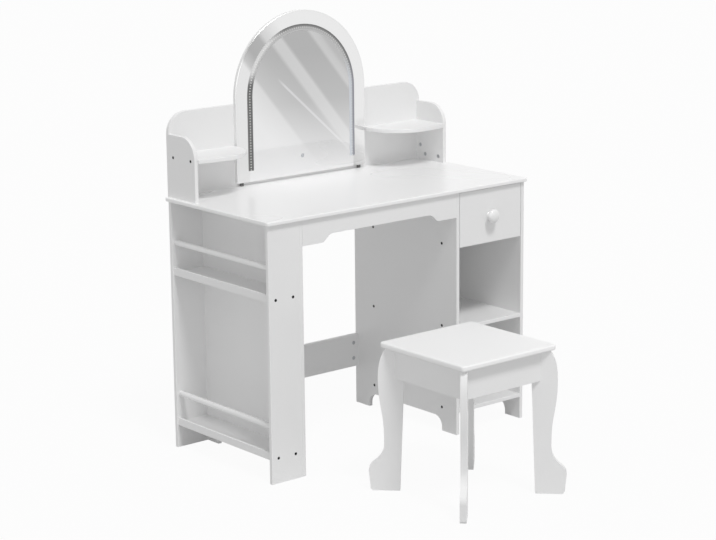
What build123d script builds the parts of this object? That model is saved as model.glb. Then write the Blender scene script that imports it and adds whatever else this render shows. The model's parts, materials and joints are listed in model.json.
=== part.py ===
"""Child's vanity table: a desktop on an end book rack and a drawer pedestal, with a
hutch, a lit arched mirror, and a square stool on cabriole legs.

Millimetres, Z up, front towards -Y. The floor is z = 0, the desktop is centred on
x = 0, and the origin is the middle of the floor area that the whole set covers.
"""
import os
from math import cos, pi, radians, sin, sqrt

from build123d import *

os.makedirs("parts", exist_ok=True)

# Boards, and the play of fasteners in their holes
board = 9.5
board_ease = 1.2
fit_gap = 0.1

# Desktop
desk_width = 800.0
desk_depth = 400.0
desk_height = 613.0
desk_corner = 6.0
desk_ease = 2.5
side_overhang = 5.0
front_overhang = 8.0
back_overhang = 8.0

# End book rack
rack_width = 89.0
lower_rack_shelf = 60.0
upper_rack_shelf = 431.0
lip_height = 18.0
lip_thickness = 7.0
lip_inset = 4.0
rail_diameter = 14.0
rail_above_shelf = 68.0
rail_inset = 14.0
rail_socket = 4.0

# Feet of the three side panels, with an arch between them
foot_length = 53.0
arch_height = 36.0
arch_radius = 27.0

# Kneehole
pedestal_width = 223.0
apron_height = 60.0
apron_rise = 18.0
apron_shoulder = 57.0
apron_ogee = 33.0
stretcher_bottom = 99.0
stretcher_height = 85.0

# Pedestal
divider_height = 472.4
middle_shelf_height = 267.4
bottom_shelf_height = 60.0
back_thickness = 3.0
back_inset = 6.0
back_groove = 3.5

# Drawer
drawer_side_gap = 1.5
drawer_top_gap = 2.0
drawer_lift = 0.4
drawer_stop_gap = 0.6
drawer_wall = 9.0
drawer_box_height = 100.0
drawer_box_depth = 340.0
drawer_bottom_thickness = 3.0
drawer_groove = 4.0
drawer_groove_height = 8.0
drawer_dowel_diameter = 5.0
drawer_dowel_length = 14.0
drawer_dowel_in_face = 6.0
drawer_dowel_spacing = 60.0

# Knob, turned, with its screw from inside the drawer
knob_diameter = 34.0
knob_base = 19.0
knob_neck = 14.0
knob_neck_length = 10.0
knob_cap = 14.0
knob_left = 4.0
knob_screw_diameter = 4.0
knob_screw_head = 9.0
knob_screw_head_height = 2.2
knob_screw_bite = 13.0

# Hutch on the desktop
hutch_inset = 10.0
hutch_back_height = 200.0
hutch_back_radius = 50.0
hutch_side_depth = 102.5
hutch_side_height = 150.0
hutch_side_radius = 50.0
hutch_shelf_height = 96.5
hutch_shelf_length = 176.5
hutch_shelf_radius = 94.0
hutch_shelf_depth = 106.0
hutch_shelf_bow = 10.0

# Arched mirror
mirror_width = 400.0
mirror_height = 403.0
mirror_gap = 8.0
mirror_backing_thickness = 6.5
mirror_sheet_thickness = 3.0
mirror_ease = 0.8
mirror_foot_inset = 17.0
mirror_foot_width = 9.0
mirror_foot_depth = 6.0
mirror_screw_inset = 85.0
mirror_screw_height = 40.0
mirror_screw_spacing = 110.0
mirror_screw_length = 14.0
mirror_screw_diameter = 3.5
mirror_screw_head = 7.0
mirror_screw_head_height = 2.5

# Light band, an upside-down U that stops short of the mirror's lower edge
band_inset = 34.0
band_width = 16.0
band_end = 27.0
channel_width = 11.0
channel_depth = 3.2
strip_width = 8.0
strip_thickness = 0.5
chip_size = 4.0
chip_height = 1.3
chip_pitch = 16.5

# Touch switch in the mirror, and the leads behind it
switch_height = 46.0
switch_pad = 10.0
switch_width = 26.0
switch_depth = 16.0
switch_thickness = 1.2
lead_diameter = 1.6
lead_groove = 2.2

# Battery case behind the mirror
cell_diameter = 10.5
cell_length = 44.5
cell_count = 3
cell_gap = 0.4
cell_nub = 3.8
cell_nub_length = 0.8
case_wall = 1.2
case_cover = 1.5
case_above_hutch = 9.0
contact_room = 3.0
contact_thickness = 0.5
cover_screw_diameter = 2.5
cover_screw_head = 4.5
cover_screw_length = 9.0
cover_screw_boss = 8.0

# Shelf screws, with a hexagon socket
screw_diameter = 4.0
screw_length = 34.0
screw_head = 7.0
screw_head_height = 3.0
screw_socket = 3.0
screw_socket_depth = 2.0
rack_screw_inset = 19.4
rack_screw_spacing = 49.4
side_screw_front = 53.5
side_screw_back = 73.0
hutch_screw_inset = 16.2

# Cam locks and their studs
cam_diameter = 10.0
cam_depth = 7.5
cam_slot = 1.2
cam_slot_depth = 1.5
cam_from_end = 15.0
stud_diameter = 4.0
stud_bite = 5.0
stretcher_cam_spacing = 40.5
desk_cam_inset = 60.0
apron_cam_inset = 120.0
hutch_cam_front = 19.5
hutch_cam_back = 33.5
hutch_cam_height = 37.0

# Stool
stool_height = 346.0
seat_size = 280.0
seat_thickness = 12.5
seat_corner = 9.0
seat_ease = 4.0
seat_overhang = 20.0
stool_apron_height = 70.0
stool_apron_thickness = 12.0
stool_from_desk = 316.5
stool_off_centre = -89.5

# Cabriole leg: distances from the stool's middle along its diagonal, and heights
leg_thickness = 15.0
leg_top_inside = 139.5
leg_heel = 152.0
leg_top_outside = 180.0
leg_knee = 200.5
leg_calf = 195.0
leg_ankle = 187.5
leg_instep = 206.5
leg_toe = 222.5
leg_sole = 218.5
knee_height = 268.0
calf_height = 198.0
ankle_height = 112.0
instep_height = 71.0
toe_height = 46.0
sole_radius = 5.0

# Corner blocks inside the stool, with bolts into the legs and screws into the seat
block_thickness = 16.0
block_height = 36.0
bolt_diameter = 6.0
bolt_head = 11.0
bolt_head_height = 4.0
bolt_bite = 24.0
seat_screw_diameter = 3.5
seat_screw_head = 6.5
seat_screw_head_height = 2.4
seat_screw_bite = 8.0
seat_screw_aside = 12.0

# Extent of the set along y
stool_reach = (leg_toe + leg_thickness / 2) / sqrt(2)
set_depth = desk_depth + stool_from_desk + stool_reach
desk_back = set_depth / 2
desk_front = desk_back - desk_depth
stool_x = stool_off_centre
stool_y = desk_front - stool_from_desk

# Faces that several pieces share
under_desk = desk_height - board
left = side_overhang - desk_width / 2
right = desk_width / 2 - side_overhang
front = desk_front + front_overhang
back = desk_back - back_overhang
inner_front = front + board
inner_back = back - board
rack_inside = left + rack_width
kneehole_left = rack_inside + board
kneehole_right = right - pedestal_width
kneehole_middle = (kneehole_left + kneehole_right) / 2
bay_left = kneehole_right + board
bay_right = right - board
bay_middle = (bay_left + bay_right) / 2
back_board_rear = back - back_inset
back_board_front = back_board_rear - back_thickness
drawer_left = bay_left + drawer_side_gap
drawer_right = bay_right - drawer_side_gap
drawer_base = divider_height + board / 2 + drawer_lift
drawer_front_base = divider_height - board / 2
drawer_rear = inner_front + drawer_box_depth
hutch_width = desk_width - 2 * hutch_inset
hutch_left = -hutch_width / 2
hutch_right = hutch_width / 2
hutch_face = desk_back - board
hutch_front = hutch_face - hutch_side_depth
backing_front = hutch_face - mirror_backing_thickness
sheet_front = backing_front - mirror_sheet_thickness
mirror_base = desk_height + mirror_gap
mirror_radius = mirror_width / 2
mirror_spring = mirror_base + mirror_height - mirror_radius
band_radius = mirror_radius - band_inset - band_width / 2
band_base = mirror_base + band_end
switch_centre = mirror_base + switch_height
seat_base = stool_height - seat_thickness
stool_apron_base = seat_base - stool_apron_height
stool_apron_face = seat_size / 2 - seat_overhang


def save(piece, label):
    """Name a finished piece and write its file."""
    piece.part.label = label
    export_step(piece.part, f"parts/{label}.step")


def facing_front(x, y, z=0.0):
    """A plane at y seen from the front: local x is X, local y is Z."""
    return Plane((x, y, z), x_dir=(1, 0, 0), z_dir=(0, -1, 0))


def facing_right(x, y=0.0, z=0.0):
    """A plane at x seen from the right: local x is Y, local y is Z."""
    return Plane((x, y, z), x_dir=(0, 1, 0), z_dir=(1, 0, 0))


def spot(point, out, towards=None):
    """A fastener's place on a face: z points out of it, x to the board it joins."""
    return Plane(point, x_dir=towards, z_dir=out)


# Places of the shelf screws, on the outer faces of the panels

def end_panel_screws(y, out):
    """Screws through a rack end panel into the two rack shelves."""
    return [
        spot((left + rack_screw_inset + step, y, height), out)
        for height in (lower_rack_shelf, upper_rack_shelf)
        for step in (0.0, rack_screw_spacing)
    ]


def side_panel_screws(x, out, heights):
    """Screws through a side panel into shelves at the given heights."""
    return [
        spot((x, y, height), out)
        for height in heights
        for y in (front + side_screw_front, back - side_screw_back)
    ]


def hutch_side_screws(x, out):
    """Screws through a hutch side into its small shelf."""
    return [
        spot((x, y, desk_height + hutch_shelf_height), out)
        for y in (hutch_front + hutch_screw_inset, hutch_face - hutch_screw_inset)
    ]


rack_heights = (lower_rack_shelf, upper_rack_shelf)
bay_heights = (bottom_shelf_height, middle_shelf_height, divider_height)
rack_front_screws = end_panel_screws(front, (0, -1, 0))
rack_rear_screws = end_panel_screws(back, (0, 1, 0))
rack_inner_screws = side_panel_screws(kneehole_left, (1, 0, 0), rack_heights)
bay_left_screws = side_panel_screws(kneehole_right, (-1, 0, 0), bay_heights)
bay_right_screws = side_panel_screws(right, (1, 0, 0), bay_heights)
hutch_left_screws = hutch_side_screws(hutch_left, (-1, 0, 0))
hutch_right_screws = hutch_side_screws(hutch_right, (1, 0, 0))
rack_shelf_screws = rack_front_screws + rack_rear_screws + rack_inner_screws
bay_shelf_screws = bay_left_screws + bay_right_screws


# Places of the cam locks, on the face that each one is let into

def stretcher_cams(end, towards):
    """Two cams at one end of the stretcher."""
    middle = stretcher_bottom + stretcher_height / 2
    return [
        spot((end - towards * cam_from_end, inner_back, middle + step), (0, -1, 0), (towards, 0, 0))
        for step in (-stretcher_cam_spacing / 2, stretcher_cam_spacing / 2)
    ]


def desk_cams(x, out):
    """Two cams that hold the top end of a side panel to the desktop."""
    return [
        spot((x, y, under_desk - cam_from_end), (out, 0, 0), (0, 0, 1))
        for y in (front + desk_cam_inset, back - desk_cam_inset)
    ]


def hutch_foot_cams(x, out):
    """Two cams that hold a hutch side down to the desktop."""
    return [
        spot((x, y, desk_height + cam_from_end), (out, 0, 0), (0, 0, -1))
        for y in (hutch_front + hutch_cam_front, hutch_face - hutch_cam_back)
    ]


def hutch_back_cam(x, out):
    """The cam that holds a hutch side to the hutch back."""
    point = (x, hutch_face - cam_from_end, desk_height + hutch_cam_height)
    return [spot(point, (out, 0, 0), (0, 1, 0))]


apron_middle = under_desk - apron_height / 2
apron_desk_cams = [
    spot((x, inner_front, under_desk - cam_from_end), (0, 1, 0), (0, 0, 1))
    for x in (kneehole_left + apron_cam_inset, kneehole_right - apron_cam_inset)
]
apron_left_cams = [
    spot((kneehole_left + cam_from_end, inner_front, apron_middle), (0, 1, 0), (-1, 0, 0))
]
apron_right_cams = [
    spot((kneehole_right - cam_from_end, inner_front, apron_middle), (0, 1, 0), (1, 0, 0))
]
stretcher_left_cams = stretcher_cams(kneehole_left, -1)
stretcher_right_cams = stretcher_cams(kneehole_right, 1)
rack_desk_cams = desk_cams(kneehole_left, 1)
bay_left_desk_cams = desk_cams(bay_left, 1)
bay_right_desk_cams = desk_cams(bay_right, -1)
hutch_left_cams = hutch_foot_cams(hutch_left + board, 1)
hutch_right_cams = hutch_foot_cams(hutch_right - board, -1)
hutch_back_cams = hutch_back_cam(hutch_left + board, 1) + hutch_back_cam(hutch_right - board, -1)
desktop_cams = (
    rack_desk_cams + bay_left_desk_cams + bay_right_desk_cams
    + apron_desk_cams + hutch_left_cams + hutch_right_cams
)
all_cams = (
    desktop_cams + apron_left_cams + apron_right_cams
    + stretcher_left_cams + stretcher_right_cams + hutch_back_cams
)


def stud_place(cam):
    """A cam's stud: it starts on the cam's axis, in mid-board, and runs along -z."""
    return Plane(cam.origin - cam.z_dir * (board / 2), x_dir=cam.z_dir, z_dir=-cam.x_dir)


def drill_screws(places):
    """Counterbored holes for shelf screws, in a panel or in a shelf's end."""
    if places:
        with Locations(*places):
            CounterBoreHole(
                screw_diameter / 2 + fit_gap,
                screw_head / 2 + fit_gap,
                screw_head_height,
                screw_length,
            )


def drill_studs(cams):
    """Holes for the studs of cams, in either of the boards that they join."""
    if cams:
        with Locations(*[stud_place(cam) for cam in cams]):
            Hole(stud_diameter / 2 + fit_gap, cam_from_end + stud_bite)


def drill_cams(cams):
    """Pockets for cams, with the holes of their studs."""
    if cams:
        with Locations(*cams):
            Hole(cam_diameter / 2 + fit_gap, cam_depth)
        drill_studs(cams)


def flat_board(x_range, y_range, z_range, screws=(), cams=()):
    """A square-cut board, its front edges eased, with the holes of its fasteners."""
    (x0, x1), (y0, y1), (z0, z1) = x_range, y_range, z_range
    with BuildPart() as piece:
        with BuildSketch(Plane.XY.offset(z0)):
            with Locations(((x0 + x1) / 2, (y0 + y1) / 2)):
                Rectangle(x1 - x0, y1 - y0)
        extrude(amount=z1 - z0)
        long_axis = Axis.X if x1 - x0 > z1 - z0 else Axis.Z
        fillet(piece.faces().sort_by(Axis.Y)[0].edges().filter_by(long_axis), board_ease)
        drill_screws(screws)
        drill_cams(cams)
    return piece


# Desktop
with BuildPart() as desktop:
    with BuildSketch(Plane.XY.offset(under_desk)):
        with Locations((0, (desk_front + desk_back) / 2)):
            RectangleRounded(desk_width, desk_depth, desk_corner)
    extrude(amount=board)
    fillet(desktop.faces().filter_by(Axis.Z).edges(), desk_ease)
    drill_studs(desktop_cams)
save(desktop, "desktop")


# Side panels
def side_panel(x, screws=(), cams=(), studs=(), groove=0):
    """A full-height side panel; groove is the side, -1 or 1, that takes the back board."""
    with BuildPart() as piece:
        with BuildSketch(facing_right(x)):
            with Locations(((front + back) / 2, under_desk / 2)):
                Rectangle(back - front, under_desk)
            with Locations(((front + back) / 2, 0)):
                arch_width = back - front - 2 * foot_length
                RectangleRounded(arch_width, 2 * arch_height, arch_radius, mode=Mode.SUBTRACT)
        extrude(amount=board)
        fillet(piece.faces().sort_by(Axis.Y)[0].edges().filter_by(Axis.Z), board_ease)
        if groove:
            groove_face = x + board if groove > 0 else x
            groove_middle = (back_board_front + back_board_rear) / 2
            groove_base = bottom_shelf_height - board / 2
            with BuildSketch(facing_right(groove_face)):
                with Locations((groove_middle, (groove_base + under_desk) / 2)):
                    Rectangle(back_thickness + 2 * fit_gap, under_desk - groove_base)
            extrude(amount=-groove * back_groove, mode=Mode.SUBTRACT)
        drill_screws(screws)
        drill_cams(cams)
        drill_studs(studs)
    return piece


save(
    side_panel(rack_inside, rack_inner_screws, rack_desk_cams, apron_left_cams + stretcher_left_cams),
    "rack_inner_panel",
)
save(
    side_panel(
        kneehole_right, bay_left_screws, bay_left_desk_cams,
        apron_right_cams + stretcher_right_cams, groove=1,
    ),
    "pedestal_left_panel",
)
save(side_panel(bay_right, bay_right_screws, bay_right_desk_cams, groove=-1), "pedestal_right_panel")


# Book rack
rail_places = [
    (left + rail_inset, height + board / 2 + rail_above_shelf) for height in rack_heights
]


def rack_end_panel(y0, y1, screws, socket_face, socket_depth):
    """A narrow end panel with the blind sockets of the two rails."""
    with BuildPart() as piece:
        with BuildSketch(facing_front(0, y0)):
            with Locations(((left + rack_inside) / 2, under_desk / 2)):
                Rectangle(rack_width, under_desk)
        extrude(amount=y0 - y1)
        fillet(piece.faces().sort_by(Axis.X)[0].edges().filter_by(Axis.Z), board_ease)
        with BuildSketch(facing_front(0, socket_face)):
            with Locations(*rail_places):
                Circle(rail_diameter / 2 + fit_gap)
        extrude(amount=socket_depth, mode=Mode.SUBTRACT)
        drill_screws(screws)
    return piece


save(
    rack_end_panel(front, inner_front, rack_front_screws, inner_front, rail_socket),
    "rack_front_panel",
)
save(
    rack_end_panel(inner_back, back, rack_rear_screws, inner_back, -rail_socket),
    "rack_rear_panel",
)

lip_face = left + lip_inset
shelf_edge = lip_face + lip_thickness
for name, height, rail_place in zip(("lower", "upper"), rack_heights, rail_places):
    save(
        flat_board(
            (shelf_edge, rack_inside), (inner_front, inner_back),
            (height - board / 2, height + board / 2), rack_shelf_screws,
        ),
        f"rack_{name}_shelf",
    )
    with BuildPart() as lip:
        with BuildSketch(facing_front(0, inner_front)):
            with Locations((lip_face + lip_thickness / 2, height + (lip_height - board) / 2)):
                Rectangle(lip_thickness, lip_height)
        extrude(amount=inner_front - inner_back)
        fillet(lip.faces().sort_by(Axis.Z)[-1].edges().filter_by(Axis.Y), board_ease)
    save(lip, f"rack_{name}_lip")
    with BuildPart() as rail:
        with BuildSketch(facing_front(0, inner_front - rail_socket)):
            with Locations(rail_place):
                Circle(rail_diameter / 2)
        extrude(amount=inner_front - inner_back - 2 * rail_socket)
    save(rail, f"rack_{name}_rail")


# Apron over the kneehole, its lower edge raised between two ogees
with BuildPart() as front_apron:
    with BuildSketch(facing_front(kneehole_middle, front)):
        half_width = (kneehole_right - kneehole_left) / 2
        apron_base = under_desk - apron_height
        shoulder = half_width - apron_shoulder
        with BuildLine():
            Line((0, under_desk), (half_width, under_desk))
            Line((half_width, under_desk), (half_width, apron_base))
            Line((half_width, apron_base), (shoulder, apron_base))
            Spline(
                (shoulder, apron_base), (shoulder - apron_ogee, apron_base + apron_rise),
                tangents=((-1, 0), (-1, 0)), tangent_scalars=(0.8, 1.4),
            )
            Line((shoulder - apron_ogee, apron_base + apron_rise), (0, apron_base + apron_rise))
            mirror(about=Plane.YZ)
        make_face()
    extrude(amount=-board)
    drill_cams(apron_desk_cams + apron_left_cams + apron_right_cams)
save(front_apron, "front_apron")

save(
    flat_board(
        (kneehole_left, kneehole_right), (inner_back, back),
        (stretcher_bottom, stretcher_bottom + stretcher_height),
        cams=stretcher_left_cams + stretcher_right_cams,
    ),
    "rear_stretcher",
)


# Shelves and back board of the pedestal
def bay_shelf(height, shelf_front):
    """A board between the pedestal's sides."""
    return flat_board(
        (bay_left, bay_right), (shelf_front, back_board_front),
        (height - board / 2, height + board / 2), bay_shelf_screws,
    )


save(bay_shelf(bottom_shelf_height, front), "bottom_shelf")
save(bay_shelf(middle_shelf_height, front), "middle_shelf")
save(bay_shelf(divider_height, inner_front + drawer_stop_gap), "drawer_divider")

with BuildPart() as pedestal_back:
    with BuildSketch(facing_front(bay_middle, back_board_front)):
        back_base = bottom_shelf_height - board / 2 + fit_gap
        with Locations((0, (back_base + under_desk) / 2)):
            Rectangle(bay_right - bay_left + 2 * (back_groove - fit_gap), under_desk - back_base)
    extrude(amount=-back_thickness)
save(pedestal_back, "pedestal_back")


# Drawer: places of the dowels, with z out of the face that they enter the least
def drawer_dowels_at(x, y, out):
    """Two dowels, one above the other, across one corner of the drawer."""
    middle = drawer_base + drawer_box_height / 2
    return [
        spot((x, y, middle + step), out)
        for step in (-drawer_dowel_spacing / 2, drawer_dowel_spacing / 2)
    ]


front_dowels = (
    drawer_dowels_at(drawer_left + drawer_wall / 2, inner_front, (0, 1, 0))
    + drawer_dowels_at(drawer_right - drawer_wall / 2, inner_front, (0, 1, 0))
)
rear_dowels = (
    drawer_dowels_at(drawer_left + drawer_wall, drawer_rear - drawer_wall / 2, (1, 0, 0))
    + drawer_dowels_at(drawer_right - drawer_wall, drawer_rear - drawer_wall / 2, (-1, 0, 0))
)
drawer_floor = drawer_base + drawer_groove_height


def drill_dowels(places):
    """Blind dowel holes, on both sides of a joint face."""
    with Locations(*[place.offset(-drawer_dowel_in_face - fit_gap) for place in places]):
        Cylinder(
            drawer_dowel_diameter / 2 + fit_gap,
            drawer_dowel_length + 2 * fit_gap,
            align=(Align.CENTER, Align.CENTER, Align.MIN),
            mode=Mode.SUBTRACT,
        )


def cut_groove(y0, y1):
    """The groove of the drawer bottom, as one slot through all it meets."""
    slot_width = drawer_right - drawer_left - 2 * (drawer_wall - drawer_groove)
    with Locations((bay_middle, (y0 + y1) / 2, drawer_floor)):
        Box(
            slot_width, y1 - y0, drawer_bottom_thickness + 2 * fit_gap,
            align=(Align.CENTER, Align.CENTER, Align.MIN), mode=Mode.SUBTRACT,
        )


knob_x = bay_middle - knob_left
drawer_front_top = under_desk - drawer_top_gap
knob_z = (drawer_front_base + drawer_front_top) / 2
knob_place = spot((knob_x, front, knob_z), (0, -1, 0))

with BuildPart() as drawer_front:
    with BuildSketch(facing_front(bay_middle, front)):
        with Locations((0, knob_z)):
            Rectangle(drawer_right - drawer_left, drawer_front_top - drawer_front_base)
    extrude(amount=-board)
    fillet(drawer_front.faces().sort_by(Axis.Y)[0].edges(), board_ease)
    cut_groove(inner_front - drawer_groove, inner_front)
    drill_dowels(front_dowels)
    with Locations(knob_place):
        Hole(knob_screw_diameter / 2 + fit_gap, board)
save(drawer_front, "drawer_front")


def drawer_side(x0, x1):
    """One side of the drawer box."""
    with BuildPart() as piece:
        with BuildSketch(facing_right(x0)):
            with Locations(((inner_front + drawer_rear) / 2, drawer_base + drawer_box_height / 2)):
                Rectangle(drawer_box_depth, drawer_box_height)
        extrude(amount=x1 - x0)
        fillet(piece.faces().sort_by(Axis.Z)[-1].edges().filter_by(Axis.Y), board_ease)
        cut_groove(inner_front, drawer_rear)
        drill_dowels(front_dowels + rear_dowels)
    return piece


save(drawer_side(drawer_left, drawer_left + drawer_wall), "drawer_left_side")
save(drawer_side(drawer_right - drawer_wall, drawer_right), "drawer_right_side")

with BuildPart() as drawer_back:
    with BuildSketch(facing_front(bay_middle, drawer_rear - drawer_wall)):
        with Locations((0, drawer_base + drawer_box_height / 2)):
            Rectangle(drawer_right - drawer_left - 2 * drawer_wall, drawer_box_height)
    extrude(amount=-drawer_wall)
    cut_groove(drawer_rear - drawer_wall, drawer_rear - drawer_wall + drawer_groove)
    drill_dowels(rear_dowels)
save(drawer_back, "drawer_back")

with BuildPart() as drawer_bottom:
    with BuildSketch(Plane.XY.offset(drawer_floor + fit_gap)):
        bottom_front = inner_front - drawer_groove + fit_gap
        bottom_rear = drawer_rear - drawer_wall + drawer_groove - fit_gap
        with Locations((bay_middle, (bottom_front + bottom_rear) / 2)):
            Rectangle(
                drawer_right - drawer_left - 2 * (drawer_wall - drawer_groove + fit_gap),
                bottom_rear - bottom_front,
            )
    extrude(amount=drawer_bottom_thickness)
save(drawer_bottom, "drawer_bottom")

with BuildPart() as drawer_dowels:
    with Locations(*[
        place.offset(-drawer_dowel_in_face) for place in front_dowels + rear_dowels
    ]):
        Cylinder(
            drawer_dowel_diameter / 2, drawer_dowel_length,
            align=(Align.CENTER, Align.CENTER, Align.MIN),
        )
save(drawer_dowels, "drawer_dowels")

with BuildPart() as drawer_knob:
    with BuildSketch(Plane((knob_x, front, knob_z), x_dir=(1, 0, 0), z_dir=(0, 0, -1))):
        knob_length = knob_neck_length + knob_cap
        knob_rim = knob_neck_length + knob_cap / 3
        with BuildLine():
            Line((0, knob_length), (0, 0))
            Line((0, 0), (knob_base / 2, 0))
            Spline(
                (knob_base / 2, 0), (knob_neck / 2, knob_neck_length / 2),
                (knob_diameter / 2, knob_rim), tangents=((-1, 1), (0, 1)),
            )
            EllipticalCenterArc(
                (0, knob_rim), knob_diameter / 2, knob_length - knob_rim,
                start_angle=0, arc_size=90,
            )
        make_face()
    revolve(axis=Axis((knob_x, front, knob_z), (0, -1, 0)))
    with Locations(knob_place.offset(knob_screw_bite + fit_gap)):
        Hole(knob_screw_diameter / 2 + fit_gap, knob_screw_bite + fit_gap)
save(drawer_knob, "drawer_knob")

with BuildPart() as knob_screw:
    with Locations(knob_place.offset(knob_screw_bite)):
        Cylinder(
            knob_screw_diameter / 2, knob_screw_bite + board,
            align=(Align.CENTER, Align.CENTER, Align.MAX),
        )
    with Locations(knob_place.offset(-board)):
        Cylinder(
            knob_screw_head / 2, knob_screw_head_height,
            align=(Align.CENTER, Align.CENTER, Align.MAX),
        )
    fillet(knob_screw.faces().sort_by(Axis.Y)[-1].edges(), knob_screw_head_height / 2)
save(knob_screw, "knob_screw")


# Hutch
def hutch_side(x, screws, cams):
    """A hutch side with its upper front corner rounded."""
    top = desk_height + hutch_side_height
    curve_base = (hutch_front, top - hutch_side_radius)
    curve_end = (hutch_front + hutch_side_radius, top)
    with BuildPart() as piece:
        with BuildSketch(facing_right(x)):
            with BuildLine():
                Polyline(curve_end, (hutch_face, top), (hutch_face, desk_height))
                Polyline((hutch_face, desk_height), (hutch_front, desk_height), curve_base)
                RadiusArc(curve_base, curve_end, hutch_side_radius)
            make_face()
        extrude(amount=board)
        rim = [
            edge for edge in piece.faces().filter_by(Axis.X).edges()
            if edge.center().Z > desk_height + board_ease
            and edge.center().Y < hutch_face - board_ease
        ]
        fillet(rim, board_ease)
        drill_screws(screws)
        drill_cams(cams)
    return piece


save(
    hutch_side(hutch_left, hutch_left_screws, hutch_left_cams + hutch_back_cams[:1]),
    "hutch_left_side",
)
save(
    hutch_side(hutch_right - board, hutch_right_screws, hutch_right_cams + hutch_back_cams[1:]),
    "hutch_right_side",
)

mirror_screw_places = [
    spot((x, desk_back, mirror_base + mirror_screw_height + step), (0, 1, 0))
    for x in (mirror_screw_inset - mirror_radius, mirror_radius - mirror_screw_inset)
    for step in (0.0, mirror_screw_spacing)
]


def drill_mirror_screws():
    """Holes for the mirror's screws, their heads sunk in the hutch back."""
    with Locations(*mirror_screw_places):
        CounterBoreHole(
            mirror_screw_diameter / 2 + fit_gap, mirror_screw_head / 2 + fit_gap,
            mirror_screw_head_height, mirror_screw_length + fit_gap,
        )


with BuildPart() as hutch_back:
    with BuildSketch(facing_front(0, hutch_face)) as hutch_outline:
        with Locations((0, desk_height + hutch_back_height / 2)):
            Rectangle(hutch_width, hutch_back_height)
        fillet(hutch_outline.vertices().group_by(Axis.Y)[-1], hutch_back_radius)
    extrude(amount=-board)
    hutch_rim = [
        edge for edge in hutch_back.faces().sort_by(Axis.Y)[0].edges()
        if edge.center().Z > desk_height + hutch_back_height - hutch_back_radius
    ]
    fillet(hutch_rim, board_ease)
    drill_studs(hutch_back_cams)
    drill_mirror_screws()
save(hutch_back, "hutch_back")


def hutch_shelf(side, screws):
    """A small shelf at one end of the hutch; side is -1 or 1."""
    end = side * (hutch_width / 2 - board)
    inner_end = end - side * hutch_shelf_length
    end_front = hutch_face - hutch_shelf_depth
    deepest = end_front - hutch_shelf_bow
    corner_start = (inner_end, deepest + hutch_shelf_radius)
    corner_end = (inner_end + side * hutch_shelf_radius, deepest)
    with BuildPart() as piece:
        with BuildSketch(Plane.XY.offset(desk_height + hutch_shelf_height - board / 2)):
            with BuildLine():
                Polyline((end, end_front), (end, hutch_face), (inner_end, hutch_face), corner_start)
                JernArc(corner_start, (0, -1), hutch_shelf_radius, side * 90)
                TangentArc(corner_end, (end, end_front), tangent=(side, 0))
            make_face()
        extrude(amount=board)
        fillet(piece.faces().filter_by(Axis.Z).edges().filter_by(GeomType.CIRCLE), board_ease)
        drill_screws(screws)
    return piece


save(hutch_shelf(-1, hutch_left_screws), "hutch_left_shelf")
save(hutch_shelf(1, hutch_right_screws), "hutch_right_shelf")


# Arched mirror
def arch_outline(radius, base):
    """An arch on the mirror's centre line, as a flat face: x across, y up."""
    with BuildSketch() as outline:
        with BuildLine():
            Polyline((-radius, mirror_spring), (-radius, base), (radius, base), (radius, mirror_spring))
            ThreePointArc((radius, mirror_spring), (0, mirror_spring + radius), (-radius, mirror_spring))
        make_face()
    return outline.sketch


def band_outline(width):
    """A band of the given width along the light band's middle line."""
    outer = arch_outline(band_radius + width / 2, band_base)
    return outer - arch_outline(band_radius - width / 2, band_base)


case_base = desk_height + hutch_back_height + case_above_hutch
case_height = cell_count * cell_diameter + (cell_count + 1) * cell_gap + 2 * case_wall
case_inside_width = cell_length + 2 * contact_room
case_left = -case_inside_width / 2 - case_wall
case_right = case_inside_width / 2 + cover_screw_boss
case_centre = ((case_left + case_right) / 2, case_base + case_height / 2)
cover_face = desk_back - case_cover
case_front = cover_face - cell_diameter - 2 * cell_gap - case_wall
switch_pocket = lead_groove + switch_thickness
switch_top = switch_centre + switch_depth / 2
lead_y = backing_front + lead_groove / 2
lead_hole = spot((0, backing_front, case_centre[1]), (0, -1, 0))

with BuildPart() as mirror_backing:
    with BuildSketch(facing_front(0, backing_front)):
        add(arch_outline(mirror_radius, mirror_base))
    extrude(amount=-mirror_backing_thickness)
    with BuildSketch(facing_front(0, backing_front)):
        add(band_outline(channel_width))
    extrude(amount=-channel_depth, mode=Mode.SUBTRACT)
    with BuildSketch(facing_front(0, backing_front)):
        with Locations((0, switch_centre)):
            Rectangle(switch_width + 2 * fit_gap, switch_depth + 2 * fit_gap)
    extrude(amount=-switch_pocket, mode=Mode.SUBTRACT)
    with BuildSketch(facing_front(0, backing_front)):
        with Locations((0, (switch_centre + case_centre[1]) / 2)):
            Rectangle(lead_groove, case_centre[1] - switch_centre + lead_groove)
        with Locations((-band_radius / 2, switch_centre)):
            Rectangle(band_radius, lead_groove)
    extrude(amount=-lead_groove, mode=Mode.SUBTRACT)
    with BuildSketch(facing_front(0, case_front)):
        with Locations(case_centre):
            Rectangle(case_right - case_left + 2 * fit_gap, case_height + 2 * fit_gap)
    extrude(amount=case_front - desk_back, mode=Mode.SUBTRACT)
    with Locations(lead_hole):
        Hole(lead_groove / 2, mirror_backing_thickness)
    drill_mirror_screws()
save(mirror_backing, "mirror_backing")

with BuildPart() as mirror_sheet:
    with BuildSketch(facing_front(0, sheet_front)):
        add(arch_outline(mirror_radius, mirror_base))
    extrude(amount=-mirror_sheet_thickness)
    chamfer(mirror_sheet.faces().sort_by(Axis.Y)[0].edges(), mirror_ease)
    with BuildSketch(facing_front(0, sheet_front)):
        add(band_outline(band_width))
        with Locations((0, switch_centre)):
            Circle(switch_pad / 2 + fit_gap)
    extrude(amount=-mirror_sheet_thickness, mode=Mode.SUBTRACT)
save(mirror_sheet, "mirror_sheet")

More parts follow.
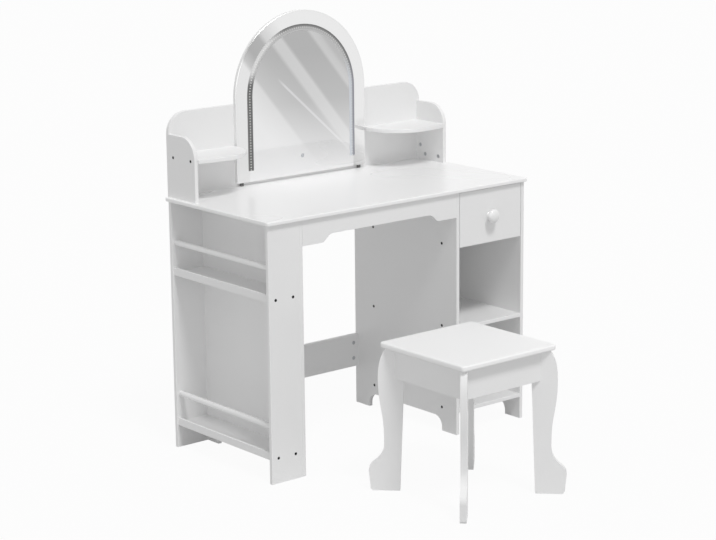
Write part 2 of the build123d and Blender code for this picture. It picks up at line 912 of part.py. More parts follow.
with BuildPart() as light_band:
    with BuildSketch(facing_front(0, sheet_front)):
        add(band_outline(band_width - 2 * fit_gap))
    extrude(amount=-mirror_sheet_thickness)
save(light_band, "light_band")

with BuildPart() as led_strip:
    with BuildSketch(facing_front(0, backing_front + channel_depth)):
        add(band_outline(strip_width))
    extrude(amount=strip_thickness)
save(led_strip, "led_strip")

# The lamps sit at even steps along the strip's middle line
band_leg = mirror_spring - band_base
band_length = 2 * band_leg + pi * band_radius
chip_count = int(band_length / chip_pitch)


def chip_place(distance):
    """The place of a lamp at a distance along the band, from its left end."""
    if distance < band_leg:
        return Location((-band_radius, band_base + distance), 0)
    if distance > band_length - band_leg:
        return Location((band_radius, band_base + band_length - distance), 0)
    turn = (distance - band_leg) / band_radius
    centre = (-band_radius * cos(turn), mirror_spring + band_radius * sin(turn))
    return Location(centre, -turn * 180 / pi)


with BuildPart() as led_chips:
    with BuildSketch(facing_front(0, backing_front + channel_depth - strip_thickness)):
        with Locations(*[
            chip_place((index + 0.5) * band_length / chip_count) for index in range(chip_count)
        ]):
            Rectangle(chip_size, chip_size)
    extrude(amount=chip_height)
save(led_chips, "led_chips")

with BuildPart() as touch_switch:
    with BuildSketch(facing_front(0, backing_front + switch_pocket)):
        with Locations((0, switch_centre)):
            Rectangle(switch_width, switch_depth)
    extrude(amount=switch_thickness)
    with BuildSketch(facing_front(0, backing_front + lead_groove)):
        with Locations((0, switch_centre)):
            Circle(switch_pad / 2)
    extrude(amount=lead_groove + mirror_sheet_thickness)
save(touch_switch, "touch_switch")

with BuildPart() as lamp_leads:
    with BuildSketch(Plane.XY.offset(switch_top)):
        with Locations((0, lead_y)):
            Circle(lead_diameter / 2)
    extrude(amount=case_centre[1] - switch_top)
    with BuildSketch(facing_right(-band_radius + strip_width / 2)):
        with Locations((lead_y, switch_centre)):
            Circle(lead_diameter / 2)
    extrude(amount=band_radius - strip_width / 2 - switch_width / 2)
    with BuildSketch(facing_front(0, lead_y)):
        with Locations((0, case_centre[1])):
            Circle(lead_diameter / 2)
    extrude(amount=lead_y - case_front - case_wall)
save(lamp_leads, "lamp_leads")

with BuildPart() as mirror_feet:
    with BuildSketch(Plane.XY.offset(desk_height)):
        with GridLocations(2 * (mirror_radius - mirror_foot_inset), 0, 2, 1):
            with Locations((0, sheet_front + mirror_foot_depth)):
                RectangleRounded(mirror_foot_width, mirror_foot_depth, mirror_foot_depth / 4)
    extrude(amount=mirror_gap)
save(mirror_feet, "mirror_feet")


def turned_screws(places, shank, length, head, head_height):
    """Flat-headed screws, one solid each, from the places of their heads' faces."""
    with BuildPart() as screws:
        with Locations(*places):
            Cylinder(shank / 2, length, align=(Align.CENTER, Align.CENTER, Align.MAX))
            Cylinder(head / 2, head_height, align=(Align.CENTER, Align.CENTER, Align.MAX))
    return screws


save(
    turned_screws(
        mirror_screw_places, mirror_screw_diameter, mirror_screw_length,
        mirror_screw_head, mirror_screw_head_height,
    ),
    "mirror_screws",
)

# Battery case, open to the rear, with its cover, cells and contacts
cell_pitch = cell_diameter + cell_gap
cell_y = case_front + case_wall + cell_gap + cell_diameter / 2
cell_heights = [
    case_base + case_wall + cell_gap + cell_diameter / 2 + index * cell_pitch
    for index in range(cell_count)
]
boss_place = spot((case_right - cover_screw_boss / 2, desk_back, case_centre[1]), (0, 1, 0))

with BuildPart() as battery_case:
    with BuildSketch(facing_front(0, case_front)):
        with Locations(case_centre):
            Rectangle(case_right - case_left, case_height)
    extrude(amount=case_front - cover_face)
    with BuildSketch(facing_front(0, case_front + case_wall)):
        with Locations((0, case_centre[1])):
            Rectangle(case_inside_width, case_height - 2 * case_wall)
    extrude(amount=case_front - cover_face, mode=Mode.SUBTRACT)
    with Locations(boss_place):
        Hole(cover_screw_diameter / 2 + fit_gap, cover_screw_length + fit_gap)
    with Locations(lead_hole):
        Hole(lead_groove / 2, case_front + case_wall - backing_front)
save(battery_case, "battery_case")

with BuildPart() as battery_cover:
    with BuildSketch(facing_front(0, cover_face)):
        with Locations(case_centre):
            Rectangle(case_right - case_left, case_height)
    extrude(amount=-case_cover)
    fillet(battery_cover.edges().filter_by(Axis.Y), case_wall)
    with Locations(boss_place):
        CounterBoreHole(
            cover_screw_diameter / 2 + fit_gap, cover_screw_head / 2 + fit_gap,
            case_cover / 2, case_cover,
        )
save(battery_cover, "battery_cover")

save(
    turned_screws(
        [boss_place], cover_screw_diameter, cover_screw_length, cover_screw_head, case_cover / 2,
    ),
    "cover_screw",
)

with BuildPart() as battery_cells:
    for index, height in enumerate(cell_heights):
        way = 1 if index % 2 == 0 else -1
        with BuildSketch(facing_right(0, cell_y, height)):
            Circle(cell_diameter / 2)
        extrude(amount=cell_length / 2, both=True)
        with BuildSketch(facing_right(way * cell_length / 2, cell_y, height)):
            Circle(cell_nub / 2)
        extrude(amount=way * cell_nub_length)
save(battery_cells, "battery_cells")

with BuildPart() as battery_contacts:
    for index, height in enumerate(cell_heights):
        way = 1 if index % 2 == 0 else -1
        for side in (-1, 1):
            reach = contact_room - (cell_nub_length if side == way else 0)
            with BuildSketch(facing_right(side * case_inside_width / 2, cell_y, height)):
                Rectangle(cell_diameter - cell_gap, cell_diameter - cell_gap)
            extrude(amount=-side * contact_thickness)
            with BuildSketch(facing_right(side * case_inside_width / 2, cell_y, height)):
                Circle(cell_nub / 2)
            extrude(amount=-side * reach)
save(battery_contacts, "battery_contacts")


# Shelf screws and cam locks
all_screws = rack_shelf_screws + bay_shelf_screws + hutch_left_screws + hutch_right_screws
with BuildPart() as shelf_screws:
    with Locations(*all_screws):
        Cylinder(screw_diameter / 2, screw_length, align=(Align.CENTER, Align.CENTER, Align.MAX))
        Cylinder(screw_head / 2, screw_head_height, align=(Align.CENTER, Align.CENTER, Align.MAX))
    for place in all_screws:
        with BuildSketch(place):
            RegularPolygon(screw_socket / 2, 6, major_radius=False)
    extrude(amount=-screw_socket_depth, mode=Mode.SUBTRACT)
save(shelf_screws, "shelf_screws")

with BuildPart() as cam_locks:
    with Locations(*all_cams):
        Cylinder(cam_diameter / 2, cam_depth, align=(Align.CENTER, Align.CENTER, Align.MAX))
        Box(
            cam_diameter * 2 / 3, cam_slot, cam_slot_depth,
            align=(Align.CENTER, Align.CENTER, Align.MAX), mode=Mode.SUBTRACT,
        )
        Box(
            cam_slot, cam_diameter * 2 / 3, cam_slot_depth,
            align=(Align.CENTER, Align.CENTER, Align.MAX), mode=Mode.SUBTRACT,
        )
    drill_studs(all_cams)
save(cam_locks, "cam_locks")

with BuildPart() as cam_studs:
    with Locations(*[stud_place(cam).offset(-fit_gap) for cam in all_cams]):
        Cylinder(
            stud_diameter / 2, cam_from_end + stud_bite - 2 * fit_gap,
            align=(Align.CENTER, Align.CENTER, Align.MAX),
        )
save(cam_studs, "cam_studs")


# Stool
stool_corners = {"front_left": -135.0, "front_right": -45.0, "rear_right": 45.0, "rear_left": 135.0}
leg_half_gap = (leg_thickness / 2 + fit_gap) * sqrt(2)
block_outer = leg_top_inside - fit_gap
block_middle = block_outer - block_thickness / 2
block_reach = (stool_apron_face - stool_apron_thickness) * sqrt(2)
block_width = 2 * (block_reach - block_outer + block_thickness - fit_gap)
block_base = seat_base - block_height
bolt_height = seat_base - block_height / 2
seat_screw_length = block_height + seat_screw_bite


def away(angle):
    """The level direction along the stool's diagonal at an angle."""
    return Vector(cos(radians(angle)), sin(radians(angle)), 0)


def on_diagonal(angle, along, height, aside=0.0):
    """A point along the stool's diagonal at an angle, or aside from it."""
    return Vector(stool_x, stool_y, height) + away(angle) * along + away(angle + 90) * aside


bolt_places = [
    spot(on_diagonal(angle, block_outer - block_thickness, bolt_height), -away(angle))
    for angle in stool_corners.values()
]
seat_screw_places = [
    spot(on_diagonal(angle, block_middle, block_base, seat_screw_aside), (0, 0, -1))
    for angle in stool_corners.values()
]


def drill_bolts():
    """Holes for the bolts, in the corner blocks and the legs."""
    with Locations(*bolt_places):
        Hole(bolt_diameter / 2 + fit_gap, block_thickness + bolt_bite + 2 * fit_gap)


def drill_seat_screws():
    """Holes for the seat's screws, in the corner blocks and the seat."""
    with Locations(*seat_screw_places):
        Hole(seat_screw_diameter / 2 + fit_gap, seat_screw_length + fit_gap)


with BuildPart() as stool_seat:
    with BuildSketch(Plane.XY.offset(seat_base)):
        with Locations((stool_x, stool_y)):
            RectangleRounded(seat_size, seat_size, seat_corner)
    extrude(amount=seat_thickness)
    fillet(stool_seat.faces().filter_by(Axis.Z).edges(), seat_ease)
    drill_seat_screws()
save(stool_seat, "stool_seat")

apron_length = 2 * (stool_apron_face - leg_half_gap)
for name, angle in (("front", 0), ("right", 90), ("rear", 180), ("left", 270)):
    with BuildPart() as stool_apron:
        with BuildSketch(Plane((stool_x, stool_y, stool_apron_base)).rotated((0, 0, angle))):
            with Locations((0, stool_apron_thickness / 2 - stool_apron_face)):
                Trapezoid(apron_length, stool_apron_thickness, 45)
        extrude(amount=stool_apron_height)
    save(stool_apron, f"stool_{name}_apron")

for name, angle in stool_corners.items():
    leg_normal = away(angle - 90)
    with BuildPart() as stool_leg:
        with BuildSketch(Plane((stool_x, stool_y, 0), x_dir=away(angle), z_dir=leg_normal)):
            with BuildLine():
                Polyline((leg_heel, 0), (leg_top_inside, seat_base), (leg_top_outside, seat_base))
                Spline(
                    (leg_top_outside, seat_base), (leg_knee, knee_height), (leg_calf, calf_height),
                    (leg_ankle, ankle_height), tangents=((1, -1), (0, -1)),
                )
                Spline(
                    (leg_ankle, ankle_height), (leg_instep, instep_height), (leg_toe, toe_height),
                    tangents=((0, -1), (0, -1)),
                )
                Polyline(
                    (leg_toe, toe_height), (leg_sole, sole_radius),
                    (leg_sole - sole_radius, 0), (leg_heel, 0),
                )
            make_face()
        extrude(amount=leg_thickness / 2, both=True)
        drill_bolts()
    save(stool_leg, f"stool_{name}_leg")

with BuildPart() as stool_blocks:
    for angle in stool_corners.values():
        with BuildSketch(Plane((stool_x, stool_y, block_base)).rotated((0, 0, angle - 90))):
            with Locations((0, block_middle)):
                Trapezoid(block_width, block_thickness, 45)
        extrude(amount=block_height)
    drill_bolts()
    drill_seat_screws()
save(stool_blocks, "stool_corner_blocks")

with BuildPart() as stool_bolts:
    with Locations(*bolt_places):
        Cylinder(
            bolt_diameter / 2, block_thickness + bolt_bite,
            align=(Align.CENTER, Align.CENTER, Align.MAX),
        )
        Cylinder(bolt_head / 2, bolt_head_height, align=(Align.CENTER, Align.CENTER, Align.MIN))
save(stool_bolts, "stool_bolts")

with BuildPart() as seat_screws:
    with Locations(*seat_screw_places):
        Cylinder(
            seat_screw_diameter / 2, seat_screw_length,
            align=(Align.CENTER, Align.CENTER, Align.MAX),
        )
        Cylinder(
            seat_screw_head / 2, seat_screw_head_height,
            align=(Align.CENTER, Align.CENTER, Align.MIN),
        )
save(seat_screws, "seat_screws")
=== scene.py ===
"""Looks of the child's vanity table: paint, mirror, lamps and fasteners around the CAD frame."""
import json
import math

import bpy
from mathutils import Matrix, Vector


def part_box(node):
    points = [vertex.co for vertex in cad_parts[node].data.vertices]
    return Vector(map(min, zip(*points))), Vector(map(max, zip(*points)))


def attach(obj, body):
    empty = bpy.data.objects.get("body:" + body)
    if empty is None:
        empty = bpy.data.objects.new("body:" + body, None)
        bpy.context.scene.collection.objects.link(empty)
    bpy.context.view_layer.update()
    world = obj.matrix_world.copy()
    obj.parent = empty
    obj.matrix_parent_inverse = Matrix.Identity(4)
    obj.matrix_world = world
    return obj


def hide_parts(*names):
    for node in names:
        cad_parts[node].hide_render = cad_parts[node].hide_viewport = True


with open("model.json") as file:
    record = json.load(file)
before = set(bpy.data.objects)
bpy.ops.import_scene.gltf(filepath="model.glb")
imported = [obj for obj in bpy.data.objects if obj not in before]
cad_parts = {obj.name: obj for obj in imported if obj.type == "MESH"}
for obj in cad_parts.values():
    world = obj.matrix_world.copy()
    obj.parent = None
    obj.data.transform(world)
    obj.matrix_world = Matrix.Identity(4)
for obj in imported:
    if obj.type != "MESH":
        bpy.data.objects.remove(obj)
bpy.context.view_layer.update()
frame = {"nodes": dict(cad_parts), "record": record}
scene = bpy.context.scene

# Camera, fitted to points of the photograph: angles in degrees, place in metres, film in
# millimetres, focal length and image width in the photograph's pixels
camera_yaw, camera_pitch, camera_roll = 39.556, 13.154, -0.588
camera_place = (-3.192763, -3.654005, 1.585485)
film_width = 36
focal_length = 2135.242
image_width = 716

# Paint: waves of its three noises, depth of its peel in metres, and spread of its roughness
peel_waves, cloud_waves, sheen_waves = 190.0, 9.0, 5.0
peel_depth = 0.0004
roughness_below, roughness_above = 0.03, 0.04

# Small parts: their darkest share of the colour, and depth of their noise in metres
small_part_dark = 0.93
small_part_depth = 0.0003

# Arched mirror in metres: the height where its arch springs, the middle radius of its light
# band, and the pitch of the lamps painted in it
spring = 0.824
band_radius = 0.158
chip_pitch = 0.0066

# Painted reflection streaks and a painted highlight stripe in the mirror, as directions in x and z
# across each, and the place of the stripe
painted_streak_across = (0.77, 0.64)
highlight_line_across = (0.664, 0.747)
highlight_line_place = 0.5958

# Scales and shifts that bring a place in metres into a colour ramp's range of 0 to 1
painted_streak_scale = 1.2
near_scale = 100.0
aside_shift = 0.5
drop_from = 1.4

# Turned knob in metres: radius and height at its base, neck and rim, each with the way that
# its outline runs there, and the height of its crown
knob_base, base_way = (0.0095, 0.0), (-0.004, 0.004)
knob_neck, neck_way = (0.007, 0.005), (0.001, 0.007)
knob_rim, rim_way = (0.017, 0.0147), (0.0, 0.012)
knob_crown = 0.024
knob_sides = 72
curve_steps = 12
crown_steps = 14

# Floor and world: half the floor's side and its drop below the feet in metres, its grey, the
# share of plain white that the camera sees in it, and the world's strength for light and view
floor_half = 40.0
floor_drop = 0.0002
floor_grey = 0.6
floor_white_share = 0.95
world_light, world_view = 0.5, 1.0


# Camera
def add_camera():
    """The camera at the photograph's viewing angle."""
    yaw, pitch, roll = (math.radians(angle) for angle in (camera_yaw, camera_pitch, camera_roll))
    forward = Vector((
        math.sin(yaw) * math.cos(pitch), math.cos(yaw) * math.cos(pitch), -math.sin(pitch),
    ))
    level = Vector((math.cos(yaw), -math.sin(yaw), 0))
    upward = level.cross(forward)
    right = level * math.cos(roll) + upward * math.sin(roll)
    up = upward * math.cos(roll) - level * math.sin(roll)
    data = bpy.data.cameras.new("camera")
    data.sensor_width = film_width
    data.lens = film_width * focal_length / image_width
    data.clip_start = 0.1
    data.clip_end = 200
    camera = bpy.data.objects.new("camera", data)
    scene.collection.objects.link(camera)
    axes = Matrix((right, up, -forward)).transposed()
    camera.matrix_world = Matrix.Translation(camera_place) @ axes.to_4x4()
    scene.camera = camera


# Node helpers
def new_material(name):
    """A new material, with its node tree and its shader."""
    material = bpy.data.materials.new(name)
    material.use_nodes = True
    tree = material.node_tree
    shader = tree.nodes["Principled BSDF"]
    return material, tree, shader


def node(tree, kind, **values):
    """A new node, each value set on the input of that name or else on the node itself."""
    made = tree.nodes.new(kind)
    for name, value in values.items():
        if name in made.inputs:
            made.inputs[name].default_value = value
        else:
            setattr(made, name, value)
    return made


def math_node(tree, operation, first, second=0.0):
    """A math node on two values, each a socket or a number."""
    made = node(tree, "ShaderNodeMath", operation=operation)
    for socket, value in zip(made.inputs, (first, second)):
        if isinstance(value, (int, float)):
            socket.default_value = value
        else:
            tree.links.new(value, socket)
    return made.outputs["Value"]


def stops(tree, value, table):
    """A colour ramp of greys or colours over a value."""
    made = node(tree, "ShaderNodeValToRGB")
    ramp = made.color_ramp
    ramp.elements.remove(ramp.elements[1])
    for index, (position, tone) in enumerate(table):
        element = ramp.elements[0] if index == 0 else ramp.elements.new(position)
        element.position = position
        element.color = (*tone, 1) if isinstance(tone, tuple) else (tone, tone, tone, 1)
    tree.links.new(value, made.inputs["Fac"])
    return made.outputs["Color"]


def mix_color(tree, factor, first, second):
    """A mix of two colours, where the factor and each colour is a socket or a value."""
    made = node(tree, "ShaderNodeMix", data_type="RGBA")
    for name, value in (("Factor", factor), ("A", first), ("B", second)):
        socket = next(i for i in made.inputs if i.name == name and i.enabled)
        if isinstance(value, (float, tuple)):
            socket.default_value = value
        else:
            tree.links.new(value, socket)
    return next(o for o in made.outputs if o.enabled)


def across_mirror(tree, x, z, direction):
    """How far a point lies along a direction in x and z."""
    return math_node(
        tree, "ADD",
        math_node(tree, "MULTIPLY", x, direction[0]), math_node(tree, "MULTIPLY", z, direction[1]),
    )


def seen_directly(tree):
    """A socket that is 1 for rays from the camera or from a glossy surface, and else 0."""
    rays = node(tree, "ShaderNodeLightPath")
    return math_node(tree, "MAXIMUM", rays.outputs["Is Camera Ray"], rays.outputs["Is Glossy Ray"])


# Paint and small parts
def painted_board(name, color, roughness=0.36, coat=0.08, grain=0.012, level=0.4):
    """Sprayed paint on fibreboard: a faint orange peel and slightly uneven gloss."""
    material, tree, shader = new_material(name)
    links = tree.links
    place = node(tree, "ShaderNodeTexCoord")
    peel = node(tree, "ShaderNodeTexNoise", Scale=peel_waves, Detail=2.0, Roughness=0.5)
    cloud = node(tree, "ShaderNodeTexNoise", Scale=cloud_waves, Detail=4.0, Roughness=0.6)
    links.new(place.outputs["Object"], peel.inputs["Vector"])
    links.new(place.outputs["Object"], cloud.inputs["Vector"])
    ramp = node(tree, "ShaderNodeMix", data_type="RGBA")
    ramp.inputs["A"].default_value = (*[c * (1 - grain) for c in color], 1)
    ramp.inputs["B"].default_value = (*color, 1)
    links.new(cloud.outputs["Fac"], ramp.inputs["Factor"])
    links.new(ramp.outputs["Result"], shader.inputs["Base Color"])
    sheen = node(tree, "ShaderNodeTexNoise", Scale=sheen_waves, Detail=0.0)
    links.new(place.outputs["Object"], sheen.inputs["Vector"])
    gloss = node(tree, "ShaderNodeMapRange")
    gloss.inputs["To Min"].default_value = roughness - roughness_below
    gloss.inputs["To Max"].default_value = roughness + roughness_above
    links.new(sheen.outputs["Fac"], gloss.inputs["Value"])
    links.new(gloss.outputs["Result"], shader.inputs["Roughness"])
    bump = node(tree, "ShaderNodeBump", Strength=0.025, Distance=peel_depth)
    links.new(peel.outputs["Fac"], bump.inputs["Height"])
    links.new(bump.outputs["Normal"], shader.inputs["Normal"])
    shader.inputs["Specular IOR Level"].default_value = level
    shader.inputs["Coat Weight"].default_value = coat
    shader.inputs["Coat Roughness"].default_value = 0.12
    return material


def plain(name, color, roughness, metallic=0.0):
    """A material with fine surface noise, for small parts."""
    material, tree, shader = new_material(name)
    links = tree.links
    place = node(tree, "ShaderNodeTexCoord")
    noise = node(tree, "ShaderNodeTexNoise", Scale=60.0, Detail=4.0)
    links.new(place.outputs["Object"], noise.inputs["Vector"])
    mix = node(tree, "ShaderNodeMix", data_type="RGBA")
    mix.inputs["A"].default_value = (*[c * small_part_dark for c in color], 1)
    mix.inputs["B"].default_value = (*color, 1)
    links.new(noise.outputs["Fac"], mix.inputs["Factor"])
    links.new(mix.outputs["Result"], shader.inputs["Base Color"])
    bump = node(tree, "ShaderNodeBump", Strength=0.05, Distance=small_part_depth)
    links.new(noise.outputs["Fac"], bump.inputs["Height"])
    links.new(bump.outputs["Normal"], shader.inputs["Normal"])
    shader.inputs["Roughness"].default_value = roughness
    shader.inputs["Metallic"].default_value = metallic
    return material


# Mirror and light band
def arch_place(tree):
    """Sockets for a point of the arch: x, z, distance from the middle line, and run along it."""
    place = node(tree, "ShaderNodeTexCoord")
    parts = node(tree, "ShaderNodeSeparateXYZ")
    tree.links.new(place.outputs["Object"], parts.inputs["Vector"])
    x, z = parts.outputs["X"], parts.outputs["Z"]
    rise = math_node(tree, "MAXIMUM", math_node(tree, "SUBTRACT", z, spring), 0.0)
    squares = math_node(
        tree, "ADD", math_node(tree, "MULTIPLY", x, x), math_node(tree, "MULTIPLY", rise, rise),
    )
    radius = math_node(tree, "SQRT", squares)
    turn = math_node(tree, "ARCTAN2", rise, math_node(tree, "ABSOLUTE", x))
    run = math_node(
        tree, "ADD", math_node(tree, "MINIMUM", z, spring),
        math_node(tree, "MULTIPLY", turn, band_radius),
    )
    return x, z, radius, run


def mirror_with_painted_reflections():
    """Mirror glass whose colour holds painted reflections: soft diagonal bands and a bright stripe,
    paler towards the foot and on the rim.
    """
    material, tree, shader = new_material("mirror_silver")
    x, z, radius, _ = arch_place(tree)
    # Painted reflection: diagonal bands of lighter and darker silver across the mirror
    across = math_node(tree, "MULTIPLY", across_mirror(tree, x, z, painted_streak_across), painted_streak_scale)
    painted_streaks = stops(tree, across, [
        (0.46, 0.80), (0.532, 0.70), (0.542, 0.55), (0.60, 0.49), (0.640, 0.47), (0.652, 0.62),
        (0.680, 0.63), (0.690, 0.46), (0.762, 0.46), (0.772, 0.60), (0.788, 0.58), (0.80, 0.50),
    ])
    # Painted highlight: a bright stripe across the right of the mirror
    from_line = math_node(tree, "SUBTRACT", across_mirror(tree, x, z, highlight_line_across), highlight_line_place)
    off_line = math_node(tree, "MULTIPLY", math_node(tree, "ABSOLUTE", from_line), near_scale)
    painted_highlight_line = stops(tree, off_line, [(0.15, 0.75), (0.42, 0.0)])
    right_of = stops(tree, math_node(tree, "ADD", x, aside_shift), [(0.425, 0.0), (0.45, 1.0)])
    painted_highlight_tone = math_node(tree, "MULTIPLY", painted_highlight_line, right_of)
    inner = mix_color(tree, painted_highlight_tone, painted_streaks, (0.72, 0.72, 0.73, 1.0))
    # Painted reflection: the mirror paler towards its foot
    low = stops(tree, z, [(0.625, 0.95), (0.70, 0.55), (0.80, 0.15), (0.92, 0.0)])
    inner = mix_color(tree, low, inner, (0.88, 0.88, 0.885, 1.0))
    # Painted reflection: bands on the rim round the inner mirror
    rim_painted_reflection = stops(tree, across, [
        (0.535, 0.80), (0.548, 0.58), (0.58, 0.44), (0.625, 0.46), (0.640, 0.66), (0.70, 0.84),
    ])
    rim = stops(tree, radius, [(0.160, 0.0), (0.164, 1.0)])
    tone = mix_color(tree, rim, inner, rim_painted_reflection)
    tree.links.new(tone, shader.inputs["Base Color"])
    edge = stops(tree, radius, [(0.1986, 0.05), (0.1993, 0.4)])
    tree.links.new(edge, shader.inputs["Roughness"])
    shader.inputs["Metallic"].default_value = 1.0
    return material


def band_with_painted_shade():
    """The clear strip over the lamps: a row of small lamps painted in a channel whose wall carries
    painted shade down the left and painted light and shade round the arch and down the right.
    """
    material, tree, shader = new_material("band_lens")
    x, z, radius, run = arch_place(tree)
    aside = math_node(tree, "ADD", x, aside_shift)
    # Where the left run of the band takes its painted shade
    left_run = stops(tree, z, [(0.855, 1.0), (0.885, 0.0)])
    left_side = stops(tree, aside, [(0.36, 1.0), (0.40, 0.0)])
    left_run_shade = math_node(tree, "MULTIPLY", left_run, left_side)
    step = math_node(tree, "FRACT", math_node(tree, "DIVIDE", run, chip_pitch))
    along = stops(tree, step, [(0.25, 0.0), (0.35, 1.0), (0.65, 1.0), (0.75, 0.0)])
    off_middle = math_node(tree, "ABSOLUTE", math_node(tree, "SUBTRACT", radius, band_radius))
    off_middle = math_node(tree, "MULTIPLY", off_middle, near_scale)
    across = stops(tree, off_middle, [(0.15, 1.0), (0.22, 0.0)])
    chip = math_node(tree, "MULTIPLY", along, across)
    # Painted shade and light on the channel's wall, by radius: shade down the left run, light and
    # shade round the arch and its rise, and pale bluish painted light with shade down the right
    wall_left_painted_shade = stops(tree, radius, [
        (0.1500, 0.20), (0.1530, 0.14), (0.1630, 0.12), (0.1655, 0.26),
    ])
    wall_arch_painted_light_and_shade = stops(tree, radius, [
        (0.1500, 0.60), (0.1540, 0.52), (0.1580, 0.36), (0.1625, 0.22), (0.1650, 0.16),
    ])
    wall_rise_painted_light = stops(tree, radius, [
        (0.1500, 0.52), (0.1550, 0.62), (0.1600, 0.80), (0.1655, 0.70),
    ])
    past_rise = stops(tree, aside, [(0.40, 0.0), (0.45, 1.0)])
    wall_arch_painted_light_and_shade = mix_color(tree, past_rise, wall_rise_painted_light, wall_arch_painted_light_and_shade)
    wall_right_painted_light_and_shade = stops(tree, radius, [
        (0.1500, (0.66, 0.69, 0.73)), (0.1560, (0.60, 0.64, 0.69)), (0.1600, (0.34, 0.35, 0.39)),
        (0.1655, (0.28, 0.28, 0.31)),
    ])
    right_run = stops(tree, math_node(tree, "SUBTRACT", drop_from, z), [(0.50, 0.0), (0.56, 1.0)])
    right_side = stops(tree, aside, [(0.60, 0.0), (0.64, 1.0)])
    low_right = math_node(tree, "MULTIPLY", right_run, right_side)
    wall = mix_color(tree, low_right, wall_arch_painted_light_and_shade, wall_right_painted_light_and_shade)
    wall = mix_color(tree, left_run_shade, wall, wall_left_painted_shade)
    lit = mix_color(tree, math_node(tree, "MULTIPLY", chip, 0.7), wall, (0.9, 0.9, 0.88, 1.0))
    tree.links.new(lit, shader.inputs["Base Color"])
    shader.inputs["Roughness"].default_value = 0.12
    shader.inputs["Specular IOR Level"].default_value = 0.35
    return material


# Finish of every solid
white = (0.86, 0.86, 0.86)
boards = painted_board("white_paint", white)
# The desktop's white is lighter than the other boards', a painted light standing in for the light
# that falls on its top
top_boards_painted_lighter = painted_board("desktop_paint", (0.92, 0.92, 0.92), roughness=0.28, coat=0.1)
seat_boards = painted_board("seat_paint", (0.95, 0.95, 0.95), roughness=0.4, coat=0.0, level=0.25)
turned = painted_board("turned_paint", white, roughness=0.28, coat=0.4)
hardboard = painted_board("hardboard_paint", (0.8, 0.8, 0.79), roughness=0.5, coat=0.0)
black_steel = plain("black_steel", (0.03, 0.03, 0.032), 0.35, 0.8)
zinc = plain("zinc", (0.62, 0.63, 0.65), 0.35, 1.0)
mirror_glass = mirror_with_painted_reflections()
lens = band_with_painted_shade()
lamps = plain("lamp_chips", (0.1, 0.1, 0.1), 0.3)
tape = plain("lamp_tape", (0.8, 0.8, 0.8), 0.5)
plastic = plain("case_plastic", (0.8, 0.8, 0.8), 0.45)
cell = plain("cell_sleeve", (0.05, 0.06, 0.07), 0.3)
rubber = plain("foot_rubber", (0.12, 0.12, 0.12), 0.7)
beech = plain("beech", (0.5, 0.34, 0.18), 0.6)
pad = plain("touch_pad", (0.5, 0.52, 0.54), 0.2)

by_slot = {
    "painted_board": boards, "desktop_paint": top_boards_painted_lighter, "seat_paint": seat_boards,
    "turned_wood": turned, "backing_board": boards, "hardboard": hardboard, "dowel_wood": beech,
    "mirror_silver": mirror_glass, "band_lens": lens, "lamp_tape": tape, "lamp_chips": lamps,
    "touch_pad": pad, "lead_sleeve": plastic, "black_screws": black_steel, "cam_zinc": zinc,
    "zinc": zinc, "case_plastic": plastic, "cell_sleeve": cell, "contact_metal": zinc,
    "foot_pads": rubber,
}
slot_of = {entry["node"]: entry["material_slot"] for entry in frame["record"]["subparts"]}
for name, piece in frame["nodes"].items():
    piece.data.materials.clear()
    piece.data.materials.append(by_slot[slot_of[name]])


# Turned knob
def curve_point(start, leave, end, arrive, t):
    """A point, a share t of the way, on the cubic curve that leaves and arrives as given."""
    shares = (2 * t**3 - 3 * t**2 + 1, t**3 - 2 * t**2 + t, 3 * t**2 - 2 * t**3, t**3 - t**2)
    return tuple(
        sum(share * point[axis] for share, point in zip(shares, (start, leave, end, arrive)))
        for axis in (0, 1)
    )


def knob_profile():
    """Radius and height of the knob's outline, from its base to just short of its crown."""
    points = []
    for start, leave, end, arrive in (
        (knob_base, base_way, knob_neck, neck_way), (knob_neck, neck_way, knob_rim, rim_way),
    ):
        for step in range(curve_steps):
            points.append(curve_point(start, leave, end, arrive, step / curve_steps))
    rim_radius, rim_height = knob_rim
    for step in range(crown_steps):
        turn = math.pi / 2 * step / crown_steps
        height = rim_height + (knob_crown - rim_height) * math.sin(turn)
        points.append((rim_radius * math.cos(turn), height))
    return points


def add_knob():
    """The drawer's turned knob, its crown closed, in rings of points round its axis."""
    low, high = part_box("drawer_knob")
    centre = Vector(((low.x + high.x) / 2, high.y, (low.z + high.z) / 2))
    profile = knob_profile()
    points = [centre]
    for radius, height in profile:
        for side in range(knob_sides):
            turn = 2 * math.pi * side / knob_sides
            points.append(centre + Vector((
                radius * math.cos(turn), -height, radius * math.sin(turn),
            )))
    points.append(centre + Vector((0, -knob_crown, 0)))
    faces = []
    for side in range(knob_sides):
        after = (side + 1) % knob_sides
        faces.append((0, 1 + after, 1 + side))
        for ring in range(len(profile) - 1):
            first = 1 + ring * knob_sides
            second = first + knob_sides
            faces.append((first + side, first + after, second + after, second + side))
        last = 1 + (len(profile) - 1) * knob_sides
        faces.append((last + side, last + after, len(points) - 1))
    mesh = bpy.data.meshes.new("turned_knob")
    mesh.from_pydata(points, [], faces)
    mesh.validate()
    for face in mesh.polygons:
        face.use_smooth = len(face.vertices) == 4 or face.center.y < centre.y - knob_crown / 2
    knob = bpy.data.objects.new("turned_knob", mesh)
    scene.collection.objects.link(knob)
    mesh.materials.append(turned)
    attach(knob, "drawer")
    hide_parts("drawer_knob")


add_knob()


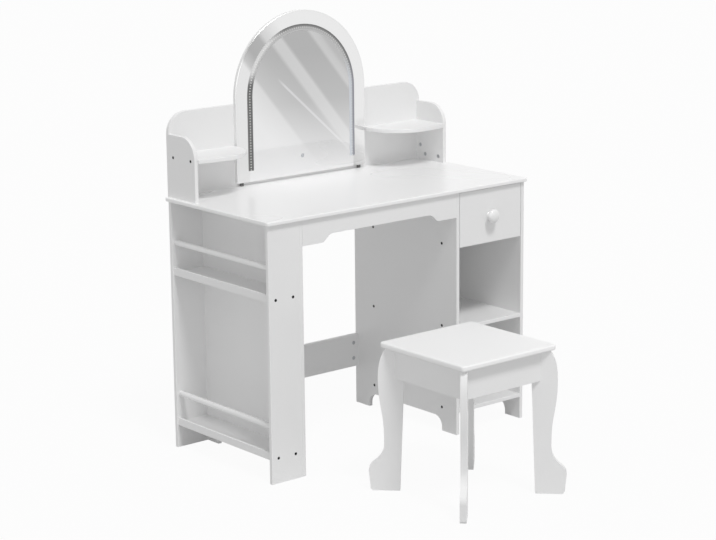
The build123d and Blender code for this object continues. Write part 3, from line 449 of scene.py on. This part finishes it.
# Floor, world and lamps
def add_floor():
    """A pale floor that the camera sees almost plain white."""
    mesh = bpy.data.meshes.new("floor")
    half = floor_half
    mesh.from_pydata(
        [(-half, -half, 0), (half, -half, 0), (half, half, 0), (-half, half, 0)], [], [(0, 1, 2, 3)],
    )
    floor = bpy.data.objects.new("floor", mesh)
    floor.location = (0, 0, -floor_drop)
    scene.collection.objects.link(floor)
    material, tree, shader = new_material("floor")
    shader.inputs["Base Color"].default_value = (floor_grey, floor_grey, floor_grey, 1)
    shader.inputs["Roughness"].default_value = 0.9
    shader.inputs["Specular IOR Level"].default_value = 0.0
    share = math_node(tree, "MULTIPLY", seen_directly(tree), floor_white_share)
    glow = node(tree, "ShaderNodeEmission", Color=(1, 1, 1, 1), Strength=1.0)
    mix = node(tree, "ShaderNodeMixShader")
    tree.links.new(share, mix.inputs["Fac"])
    tree.links.new(shader.outputs["BSDF"], mix.inputs[1])
    tree.links.new(glow.outputs["Emission"], mix.inputs[2])
    tree.links.new(mix.outputs["Shader"], tree.nodes["Material Output"].inputs["Surface"])
    mesh.materials.append(material)


def add_world():
    """White studio light, seen as plain white and lighting the object more softly."""
    world = bpy.data.worlds.new("studio")
    scene.world = world
    world.use_nodes = True
    tree = world.node_tree
    back = tree.nodes["Background"]
    back.inputs["Color"].default_value = (1, 1, 1, 1)
    power = node(tree, "ShaderNodeMapRange")
    power.inputs["To Min"].default_value = world_light
    power.inputs["To Max"].default_value = world_view
    tree.links.new(seen_directly(tree), power.inputs["Value"])
    tree.links.new(power.outputs["Result"], back.inputs["Strength"])


def add_lamp(name, direction, strength, spread, shadow=True):
    """A distant lamp, by the direction towards it and its spread in degrees."""
    data = bpy.data.lights.new(name, "SUN")
    data.energy = strength
    data.angle = math.radians(spread)
    data.use_shadow = shadow
    lamp = bpy.data.objects.new(name, data)
    lamp.rotation_euler = Vector(direction).to_track_quat("Z", "Y").to_euler()
    scene.collection.objects.link(lamp)


add_camera()
add_floor()
add_world()
add_lamp("key", (-0.08, -0.5, 0.86), 1.42, 14)
add_lamp("left_fill", (-0.8, -0.5, 0.25), 0.22, 30, shadow=False)
add_lamp("front_fill", (-0.3, -0.9, 0.25), 0.1, 30, shadow=False)
scene.view_settings.view_transform = "Standard"
